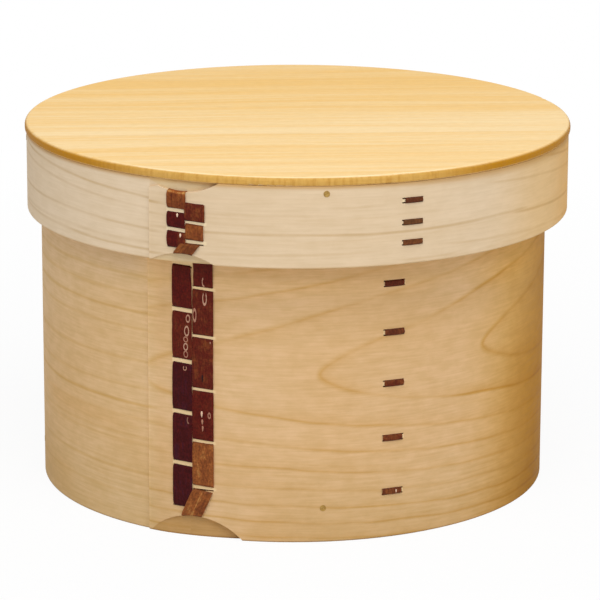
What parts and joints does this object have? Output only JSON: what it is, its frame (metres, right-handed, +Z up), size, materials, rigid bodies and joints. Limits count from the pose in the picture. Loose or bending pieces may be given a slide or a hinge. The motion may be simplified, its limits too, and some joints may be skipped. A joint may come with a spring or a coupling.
{
  "type": "bentwood rice tub with lid",
  "caption": "Round bentwood tub for cooked rice, its lapped wall stitched with bark strips, with a pegged bottom board and a lift-off lid that fits over the rim.",
  "frame": {"origin": "centre of the tub's foot, on the surface that it stands on", "axes": "+Z up along the tub's axis, -Y to the front, where the bark seams are, +X to the right seen from the front"},
  "size_m": [0.2152, 0.2152, 0.1432],
  "materials": {
    "hoop_wood": "bare planed cypress, satin",
    "lid_hoop_wood": "bare planed cypress, satin",
    "lid_board_wood": "bare planed cypress, satin",
    "base_board_wood": "bare planed cypress, satin",
    "dark_bark": "polished cherry bark",
    "red_bark": "polished cherry bark",
    "bamboo": "cut bamboo"
  },
  "bodies": {
    "tub": {"tub_hoop": "hoop_wood", "tub_left_bark": "dark_bark", "tub_right_bark": "red_bark", "tub_inner_bark": "dark_bark", "base_plank_1": "base_board_wood", "base_plank_2": "base_board_wood", "base_plank_3": "base_board_wood", "base_plank_4": "base_board_wood", "base_dowels": "bamboo", "base_pegs": "bamboo"},
    "lid": {"lid_hoop": "lid_hoop_wood", "lid_left_bark": "dark_bark", "lid_right_bark": "red_bark", "lid_inner_bark": "dark_bark", "lid_plank_1": "lid_board_wood", "lid_plank_2": "lid_board_wood", "lid_plank_3": "lid_board_wood", "lid_plank_4": "lid_board_wood", "lid_plank_5": "lid_board_wood", "lid_dowels": "bamboo", "lid_pegs": "bamboo"}
  },
  "joints": [
    {"name": "lid_lift", "type": "slide", "parent": "tub", "child": "lid", "axis": [0, 0, 1], "range_m": [0, 0.1]}
  ]
}
